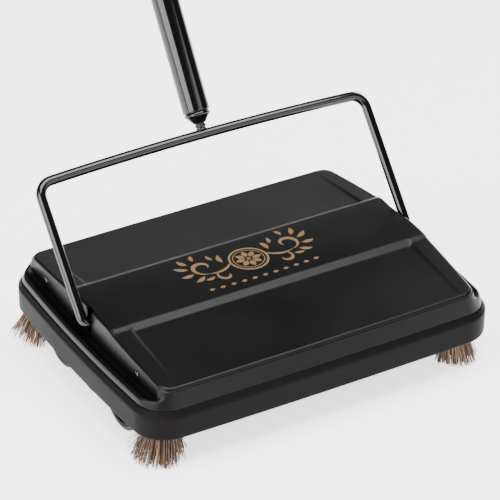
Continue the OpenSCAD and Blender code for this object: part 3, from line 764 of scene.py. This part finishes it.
def rod_path():
    """The rod's middle line, drawn upright in its own plane, with the pivot at the origin."""
    path = [(STUB_X, 0), (BAIL_X - FOOT_R, 0)]
    for step in range(1, 11):
        angle = math.pi / 2 * step / 10
        path.append((BAIL_X - FOOT_R + FOOT_R * math.sin(angle),
                     FOOT_R - FOOT_R * math.cos(angle)))
    path.append((BAIL_X, bend_z))
    for step in range(1, 13):
        angle = (math.pi / 2 - bow_angle) * step / 12
        path.append((BAIL_X - BAIL_CORNER + BAIL_CORNER * math.cos(angle),
                     bend_z + BAIL_CORNER * math.sin(angle)))
    for step in range(1, 12):
        angle = bow_angle * (1 - step / 12)
        path.append((bow_radius * math.sin(angle),
                     BAIL_L - bow_radius + bow_radius * math.cos(angle)))
    path.append((0, BAIL_L))
    left = [(-x, z) for x, z in reversed(path[:-1])]
    return [Vector((x, 0, z)) for x, z in path + left]


def along_path(path, radius, sides):
    """Rings around a path that lies in the XZ plane, each square to it."""
    rings = []
    for index, point in enumerate(path):
        before = path[max(index - 1, 0)]
        after = path[min(index + 1, len(path) - 1)]
        ahead = (after - before).normalized()
        across = Vector((ahead.z, 0, -ahead.x))
        rings.append([point + radius * (c * across + s * Vector((0, 1, 0)))
                      for c, s in unit_circle(sides)])
    return rings


bail = closed_loft("bail_rod", along_path(rod_path(), BAIL_R, ROD_SIDES), True)
bail.rotation_euler = (-BAIL_LEAN, 0, 0)
bail.location = PIVOT
settle(bail, gloss_black, "bail_and_handle", "gloss_black", "bail", smooth=50)

# ---- Handle ----
# A threaded stud rises from the middle of the bar into a turned socket, which plugs the lowest of
# three thin steel tubes.  Black joiners screw the tubes together, and a dipped vinyl grip with a
# hanging eye closes the top.

TUBE_GAP = 3 * MM
SOCKET_S = 18.5 * MM
lower_mid = sum(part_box("tube_lower"), Vector()) / 2
middle_mid = sum(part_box("tube_middle"), Vector()) / 2
upper_mid = sum(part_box("tube_upper"), Vector()) / 2
UP_TUBE = (upper_mid - lower_mid).normalized()
SECTION = (middle_mid - lower_mid).length - TUBE_GAP
BAR_MID = lower_mid - UP_TUBE * (SECTION / 2 + SOCKET_S)
TUBE_SIDES = 64
MIDDLE_S = SOCKET_S + SECTION + TUBE_GAP
UPPER_S = MIDDLE_S + SECTION + TUBE_GAP
TUBE_END = UPPER_S + SECTION
GRIP_S = TUBE_END - 104 * MM
EYE_S = TUBE_END + 16 * MM
EYE_R = 10 * MM
EYE_HALF_T = 3.5 * MM
EYE_HOLE_R = 5 * MM
EYE_FOOT_S = TUBE_END + 5 * MM


def turned(name, profile, sides=TUBE_SIDES, caps=True):
    """A part turned on a lathe, from its radius and height at each step up the handle."""
    rings = [[Vector((radius * c, radius * s, height)) for c, s in unit_circle(sides)]
             for radius, height in profile]
    return closed_loft(name, rings, caps)


def on_handle(piece):
    """Sets an upright piece on the handle's line, measured from the middle of the bar."""
    piece.rotation_euler = UP_TUBE.to_track_quat("Z", "Y").to_euler()
    piece.location = BAR_MID
    return piece


def mm_profile(*steps, start=0.0):
    """A turned profile given in millimetres, starting part way up the handle."""
    return [(radius * MM, start + height * MM) for radius, height in steps]


bright_steel = finish_material("bright_steel", (0.26, 0.26, 0.265), (0.34, 0.34, 0.345),
                               (0.22, 0.36), 1500, 0.01 * MM, metallic=1.0, speck=0.05,
                               speck_colour=(0.25, 0.22, 0.2, 1))
stud = turned("handle_stud_turned", mm_profile(
    (3.4, 3.0), (4.4, 3.4), (4.5, 3.9), (4.3, 4.4), (3.7, 4.8), (3.7, 5.6), (4.3, 5.9), (4.5, 6.3),
    (4.5, 7.4), (4.3, 7.8), (3.8, 8.1), (3.8, 8.9), (4.0, 9.2), (4.0, 38.8), (3.6, 39.2)))
settle(on_handle(stud), gloss_black, "bail_and_handle", "bright_steel", "handle_stud")

socket = turned("tube_socket_turned", mm_profile(
    (4.4, 8.9), (4.8, 9.0), (5.4, 9.4), (6.3, 10.6), (7.8, 12.6), (9.0, 14.1), (9.5, 14.5),
    (10.1, 15.0), (10.4, 15.8), (10.4, 16.6), (10.2, 17.3), (9.8, 17.7), (9.6, 18.0), (9.9, 18.3),
    (10.3, 18.5), (10.3, 40.1), (9.9, 40.5)))
settle(on_handle(socket), gloss_black, "bail_and_handle", "gloss_black", "tube_socket", smooth=30)


def tube(name, start, node):
    """One tube section with softly broken ends."""
    top = SECTION / MM
    piece = turned(name, mm_profile(
        (10.3, 0.5), (10.35, 0.1), (10.6, 0.0), (10.85, 0.15), (11.0, 0.5), (11.0, 1.3),
        (11.0, top - 1.2), (11.0, top - 0.4), (10.9, top - 0.1), (10.7, top), (10.4, top - 0.05),
        (10.3, top - 0.4), start=start), caps=False)
    settle(on_handle(piece), gloss_black, "bail_and_handle", "gloss_black", node)


tube("tube_lower_section", SOCKET_S, "tube_lower")
tube("tube_middle_section", MIDDLE_S, "tube_middle")
tube("tube_upper_section", UPPER_S, "tube_upper")

black_plastic = finish_material("black_plastic", (0.004, 0.004, 0.0043), (0.006, 0.006, 0.0063),
                                (0.36, 0.5), 1100, 0.03 * MM, speck=0.01, specular=0.3)


def joiner(name, start, node):
    """A threaded plug that shows as a narrow collar between two tube sections."""
    piece = turned(name, mm_profile(
        (9.9, -22), (10.25, -21.6), (10.25, -0.1), (10.7, 0), (10.95, 0.25), (11.0, 0.6),
        (10.8, 1.1), (10.75, 1.5), (10.8, 1.9), (11.0, 2.4), (10.95, 2.75), (10.7, 3),
        (10.25, 3.1), (10.25, 24.6), (9.9, 25), start=start))
    settle(on_handle(piece), black_plastic, "bail_and_handle", "black_plastic", node)


joiner("tube_joiner_lower_plug", MIDDLE_S - TUBE_GAP, "tube_joiner_lower")
joiner("tube_joiner_upper_plug", UPPER_S - TUBE_GAP, "tube_joiner_upper")

grip_vinyl = finish_material("grip_vinyl", (0.005, 0.005, 0.0055), (0.008, 0.008, 0.0085),
                             (0.42, 0.55), 1600, 0.02 * MM, speck=0.004, specular=0.3)
grip_profile = [(11.05, 0.6), (11.1, 0.1), (11.8, 0.0), (13.0, 0.5), (13.5, 1.3), (13.6, 2.4),
                (13.6, 6)]
for ring_start in range(8, 96, 5):
    grip_profile += [(13.6, ring_start), (13.35, ring_start + 0.5), (12.95, ring_start + 1.0),
                     (12.9, ring_start + 1.5), (13.3, ring_start + 2.1), (13.6, ring_start + 2.7)]
grip_profile += [(13.6, 99), (13.6, 103.9), (11.05, 104)]
grip = turned("grip_sleeve", mm_profile(*grip_profile, start=GRIP_S))
settle(on_handle(grip), grip_vinyl, "bail_and_handle", "grip_vinyl", "grip")

cap = turned("hang_cap_plug", mm_profile(
    (9.9, -22), (10.25, -21.6), (10.25, -0.1), (13.2, 0), (13.5, 0.4), (13.6, 1.0), (13.6, 6.2),
    (13.3, 7.0), (12.6, 7.9), (11.6, 8.6), (10.2, 9.0), (4, 9.1), start=TUBE_END))
on_handle(cap)
deselect()
bpy.ops.mesh.primitive_cube_add(size=1)
eye = bpy.context.object
eye.name = "hang_eye"
for vertex in eye.data.vertices:
    vertex.co = Vector((math.copysign(EYE_HALF_T, vertex.co.x), math.copysign(EYE_R, vertex.co.y),
                        EYE_S if vertex.co.z > 0 else EYE_FOOT_S))


def cross_cylinder(radius, depth, sides):
    """A cylinder that lies across the handle at the eye."""
    bpy.ops.mesh.primitive_cylinder_add(vertices=sides, radius=radius, depth=depth,
                                        location=(0, 0, EYE_S), rotation=(0, math.pi / 2, 0))
    return bpy.context.object


eye_ring = cross_cylinder(EYE_R, 2 * EYE_HALF_T, 64)
eye_hole = cross_cylinder(EYE_HOLE_R, 2 * EYE_HALF_T + 5 * MM, 48)
apply_modifier(eye, "BOOLEAN", object=eye_ring, operation="UNION", solver="EXACT")
apply_modifier(eye, "BOOLEAN", object=eye_hole, operation="DIFFERENCE", solver="EXACT")
apply_modifier(eye, "BEVEL", width=1.1 * MM, segments=3, limit_method="ANGLE",
               angle_limit=math.radians(50))
bpy.data.objects.remove(eye_ring)
bpy.data.objects.remove(eye_hole)
on_handle(eye)
settle(cap, grip_vinyl, "bail_and_handle", "grip_vinyl", "hang_cap")
settle(eye, grip_vinyl, "bail_and_handle", "grip_vinyl", "hang_cap")

# ---- Corner brushes ----
# Each corner has a tuft of natural bristle, gathered and stapled into a moulded cup, that drags
# along skirting boards.  The tufts have splayed with use, and stray hairs stand out.

BRISTLE_R = 0.3 * MM
BRISTLE_TAPER = 0.15
TUFT_ROOT_Z = EDGE_Z + 6 * MM
TUFT_ROOT_R = 11.8 * MM
CLUMPS = 90
ROW_STEPS = 3
TUFT_STEPS = 5
CORNERS = ("fl", "fr", "rl", "rr")
random.seed(11)


def bristle_material():
    """Natural bristle: every hair has its own tone, darker towards the root, and the darkest tones
    are painted shadow between the hairs.
    """
    made = finish_material("natural_bristle", (0.20, 0.105, 0.055), (0.42, 0.27, 0.16),
                           (0.5, 0.62), 2500, 0.03 * MM, speck=0.0)
    nodes, link = made.node_tree.nodes, made.node_tree.links.new
    tone = nodes.new("ShaderNodeAttribute")
    tone.attribute_name = "hair_tone_and_gap_shade"
    ramp = nodes.new("ShaderNodeValToRGB")
    # The near-black colours at the low end are painted shadow in the gaps between hairs; the
    # lighter ones are the bristle's own tan.
    ramp.color_ramp.elements[0].color = (0.010, 0.004, 0.002, 1)
    ramp.color_ramp.elements[1].color = (0.42, 0.29, 0.19, 1)
    for place, colour in ((0.3, (0.030, 0.013, 0.006, 1)), (0.6, (0.075, 0.033, 0.015, 1)),
                          (0.82, (0.20, 0.105, 0.055, 1))):
        ramp.color_ramp.elements.new(place).color = colour
    link(tone.outputs["Fac"], ramp.inputs["Fac"])
    link(ramp.outputs["Color"], nodes["Principled BSDF"].inputs["Base Color"])
    return made


natural_bristle = bristle_material()


def hairs(name, strands):
    """A bundle of hairs: thin four-sided tubes that narrow to the tip, each with its own tone."""
    piece = swept(name, [(points, [1 - BRISTLE_TAPER * (i / (len(points) - 1)) ** 2
                                   for i in range(len(points))]) for points in strands],
                  BRISTLE_R, 0, caps=False)
    tones = piece.data.attributes.new("hair_tone_and_gap_shade", "FLOAT", "POINT")
    vertex = 0
    for points in strands:
        # Each hair's tone rises from root to tip; the bristle finish turns the lowest tones into
        # painted shadow between hairs.
        base = random.random()
        for ring in range(len(points)):
            for _ in range(4):
                tones.data[vertex].value = min(0.85 * base + 0.15 * ring / (len(points) - 1), 1)
                vertex += 1
    return piece


def tuft(name, centre, spread, lean, count, strays):
    """Hairs from a round root, splaying as they fall to the floor.  spread is the tip radius over
    the root radius, and lean is how far the whole tuft is swept aside at the floor."""
    clumps = [(random.random() * 2 * math.pi, random.random()) for _ in range(CLUMPS)]
    strands = []
    for index in range(count):
        angle, out = random.choice(clumps)
        angle += random.gauss(0, 0.17)
        out = min(math.sqrt(out) + random.gauss(0, 0.07), 1.05)
        stray = index < strays
        outwards = Vector((math.cos(angle), math.sin(angle)))
        root = outwards * TUFT_ROOT_R * out
        reach = spread * (1 + random.gauss(0, 0.05)) + (random.uniform(0.15, 0.6) if stray else 0)
        tip = outwards * TUFT_ROOT_R * out * reach + Vector(lean)
        tip += Vector((random.gauss(0, 0.9), random.gauss(0, 0.9))) * MM
        tip_z = (abs(random.gauss(0, 1.1)) + 0.3 + (random.uniform(2, 12) if stray else 0)) * MM
        points = []
        for step in range(TUFT_STEPS + 1):
            t = step / TUFT_STEPS
            flat = root + (tip - root) * t ** 1.45
            wave = 0.35 * MM * math.sin(5 * t + 2 * math.pi * out + index)
            height = TUFT_ROOT_Z + (tip_z - TUFT_ROOT_Z) * t
            points.append(centre + Vector((flat.x + wave * t, flat.y - wave * t, height)))
        strands.append(points)
    return hairs(name, strands)


# Each tuft: its splay, its sweep in millimetres, and how many hairs and strays it has
TUFTS = {"fl": (1.72, (-3.5, -0.5), 820, 30), "fr": (1.45, (2.5, -0.5), 720, 22),
         "rl": (1.75, (-7.0, 1.0), 720, 30), "rr": (1.45, (1.0, 1.5), 720, 22)}
for label in CORNERS:
    spread, lean, count, strays = TUFTS[label]
    low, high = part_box("brush_cup_" + label)
    middle = Vector(((low.x + high.x) / 2 - 2 * MM, (low.y + high.y) / 2, 0))
    piece = tuft("corner_tuft_" + label, middle, spread, [far * MM for far in lean], count, strays)
    settle(piece, natural_bristle, "chassis", "natural_bristle", "brush_tuft_" + label,
           outward=False)

# ---- Brush cups ----
# Moulded cups, open below, that gather each tuft.  A screw through the pad above holds each cup.

for label in CORNERS:
    low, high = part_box("brush_cup_" + label)
    middle = (low + high) / 2
    cup = turned("brush_cup_" + label + "_moulded", mm_profile(
        (1.0, 37.9), (13.2, 37.9), (14.0, 37.2), (14.0, 26.7), (14.3, 26.2), (14.8, 26.0),
        (15.7, 26.0), (16.2, 26.2), (16.5, 26.7), (16.5, 29.8), (16.2, 30.1), (16.2, 31.6),
        (16.5, 31.9), (16.5, 39.6), (16.1, 40.0), (1.0, 40.0)))
    cup.location = (middle.x, middle.y, 0)
    settle(cup, black_plastic, "chassis", "black_plastic", "brush_cup_" + label)

# ---- Roller brush ----
# Four rows of natural bristle, stapled in short tufts into the turned wooden core of the roller
# that sweeps the dirt into the pans.

SHAFT_LOW, SHAFT_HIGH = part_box("roller_shaft")
ROLLER_AXIS = (SHAFT_LOW + SHAFT_HIGH) / 2
ROW_LOW, ROW_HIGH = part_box("roller_bristles")
CORE_LOW, CORE_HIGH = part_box("roller_core")
CORE_R = (CORE_HIGH.z - CORE_LOW.z) / 2
TIP_R = 27.5 * MM
TUFT_PITCH = 4.2 * MM
HAIRS_PER_TUFT = 13

roller_strands = []
tuft_count = int((ROW_HIGH.x - ROW_LOW.x) / TUFT_PITCH)
for row in range(4):
    for place in range(tuft_count):
        root_x = ROW_LOW.x + TUFT_PITCH * (place + 0.5 + 0.25 * (row % 2))
        for _ in range(HAIRS_PER_TUFT):
            angle = math.radians(45 + 90 * row + random.gauss(0, 1.6))
            fan = math.radians(random.gauss(0, 3.2))
            drift = random.gauss(0, 1.1) * MM
            reach = TIP_R - abs(random.gauss(0, 0.35)) * MM
            strand = []
            for step in range(ROW_STEPS + 1):
                t = step / ROW_STEPS
                radius = CORE_R - 0.6 * MM + (reach - CORE_R) * t
                bend = angle + fan * t * t
                along = min(max(root_x + drift * t, ROW_LOW.x), ROW_HIGH.x)
                strand.append(Vector((along, ROLLER_AXIS.y - radius * math.sin(bend),
                                      ROLLER_AXIS.z + radius * math.cos(bend))))
            roller_strands.append(strand)
roller_rows = hairs("roller_bristle_rows", roller_strands)
settle(roller_rows, natural_bristle, "roller", "natural_bristle", "roller_bristles",
       outward=False)

# ---- Wheels and tyres ----
# Moulded wheels with a ribbed web turn on fixed steel axles.  Their grooved rubber tyres roll on
# the floor and drive the drums on the roller's shaft.

RIB_COUNT = 6
RIB_DEGREES = 10
RIB_IN = 8 * MM
RIB_OUT = 18 * MM
RIB_H = 2.6 * MM
WHEEL_SIDES = 72

base_plastic = finish_material("base_plastic", (0.0030, 0.0024, 0.0028), (0.0042, 0.0035, 0.0039),
                               (0.46, 0.58), 1300, 0.06 * MM, speck=0.004, specular=0.06)
pan_plastic = finish_material("pan_plastic", (0.006, 0.006, 0.0065), (0.009, 0.009, 0.0098),
                              (0.4, 0.52), 1000, 0.05 * MM, speck=0.06)
tyre_rubber = finish_material("tyre_rubber", (0.004, 0.004, 0.0042), (0.007, 0.0068, 0.0066),
                              (0.62, 0.78), 900, 0.08 * MM, speck=0.12)

wheel_profile = [
    (2.55, -8), (6.0, -8), (6.5, -7.5), (6.5, -2.2), (8.0, -1.6), (18.0, -1.5), (19.4, -2.4),
    (19.8, -5.4), (20.3, -6), (22.0, -6), (22.5, -5.6), (22.5, 5.6), (22.0, 6), (20.3, 6),
    (19.8, 5.4), (19.4, 2.4), (18.0, 1.5), (8.0, 1.6), (6.5, 2.2), (6.5, 7.5), (6.0, 8), (2.55, 8)]
tyre_profile = [
    (22.5, -5.9), (24.8, -5.9), (25.6, -5.4), (26, -4.6), (26, -3.2), (25.5, -3.0), (25.5, -2.4),
    (26, -2.2), (26, -0.4), (25.5, -0.2), (25.5, 0.2), (26, 0.4), (26, 2.2), (25.5, 2.4),
    (25.5, 3.0), (26, 3.2), (26, 4.6), (25.6, 5.4), (24.8, 5.9), (22.5, 5.9)]


def on_rib(at, middle, side):
    """True for a face of the wheel's web, on one side, where a rib stands."""
    out_y, out_z = at.y - middle.y, at.z - middle.z
    turned_to = math.degrees(math.atan2(out_z, out_y)) % (360 / RIB_COUNT)
    return (RIB_IN < math.hypot(out_y, out_z) < RIB_OUT and turned_to < RIB_DEGREES
            and side * (at.x - middle.x) > 1.4 * MM)


for label in CORNERS:
    low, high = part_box("tyre_" + label)
    middle = (low + high) / 2
    body = "wheel_" + label + "_body"
    wheel = turned_across("ribbed_wheel_" + label, wheel_profile, middle, WHEEL_SIDES, False)
    bpy.ops.object.mode_set(mode="EDIT")
    bpy.ops.mesh.select_mode(type="FACE")
    for side in (-1, 1):
        select_faces(wheel, lambda at: on_rib(at, middle, side))
        bpy.ops.mesh.extrude_region_move(TRANSFORM_OT_translate={"value": (side * RIB_H, 0, 0)})
    bpy.ops.object.mode_set(mode="OBJECT")
    settle(wheel, base_plastic, body, "base_plastic", "wheel_" + label)
    tyre = turned_across("grooved_tyre_" + label, tyre_profile, middle, WHEEL_SIDES, False)
    settle(tyre, tyre_rubber, body, "tyre_rubber", "tyre_" + label)

# ---- Pan springs ----
# Torsion springs of 1.1 mm wire, wound on the hinge rods, that hold each dust pan shut.

WIRE_R = 0.55 * MM
SPRING_R = 2.3 * MM
SPRING_L = 6 * MM
SPRING_TURNS = 5
STEPS_PER_TURN = 20
LEG_L = 8 * MM

for label, end in (("front", -1), ("rear", 1)):
    low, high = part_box("pan_springs_" + label)
    rod_low, rod_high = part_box("pan_rod_" + label)
    rod = (rod_low + rod_high) / 2
    coils = []
    for side in (-1, 1):
        coil = []
        steps = STEPS_PER_TURN * SPRING_TURNS
        inner = high.x - SPRING_L + WIRE_R
        for step in range(steps + 1):
            angle = 2 * math.pi * step / STEPS_PER_TURN
            coil.append(Vector((side * (inner + (SPRING_L - 2 * WIRE_R) * step / steps),
                                rod.y + end * SPRING_R * math.cos(angle),
                                rod.z - SPRING_R * math.sin(angle))))
        coil.insert(0, coil[0] + Vector((0, 0, LEG_L - 0.1 * MM)))
        coils.append((coil, [1] * len(coil)))
    springs = swept("pan_spring_coils_" + label, coils, WIRE_R, 2)
    settle(springs, bright_steel, "pan_" + label, "bright_steel", "pan_springs_" + label)

# ---- Carried-over frame parts ----
# The remaining moulded, turned and bent parts keep their own shapes and take their finishes here.

nylon_white = finish_material("nylon_white", (0.30, 0.285, 0.245), (0.38, 0.365, 0.32),
                              (0.4, 0.5), 800, 0.03 * MM)
roller_wood = finish_material("roller_wood", (0.055, 0.023, 0.009), (0.12, 0.058, 0.025),
                              (0.45, 0.6), 700, 0.08 * MM, patch_scale=60)

SLOT_MATERIALS = {
    "base_plastic": base_plastic, "bumper_vinyl": bumper_vinyl, "black_enamel": black_enamel,
    "gloss_black": gloss_black, "black_plastic": black_plastic, "pan_plastic": pan_plastic,
    "natural_bristle": natural_bristle, "roller_wood": roller_wood, "bright_steel": bright_steel,
    "nylon": nylon_white, "tyre_rubber": tyre_rubber, "grip_vinyl": grip_vinyl}
for part in frame["record"]["subparts"]:
    node = frame["nodes"][part["node"]]
    node.data.materials.clear()
    node.data.materials.append(SLOT_MATERIALS[part["material_slot"]])
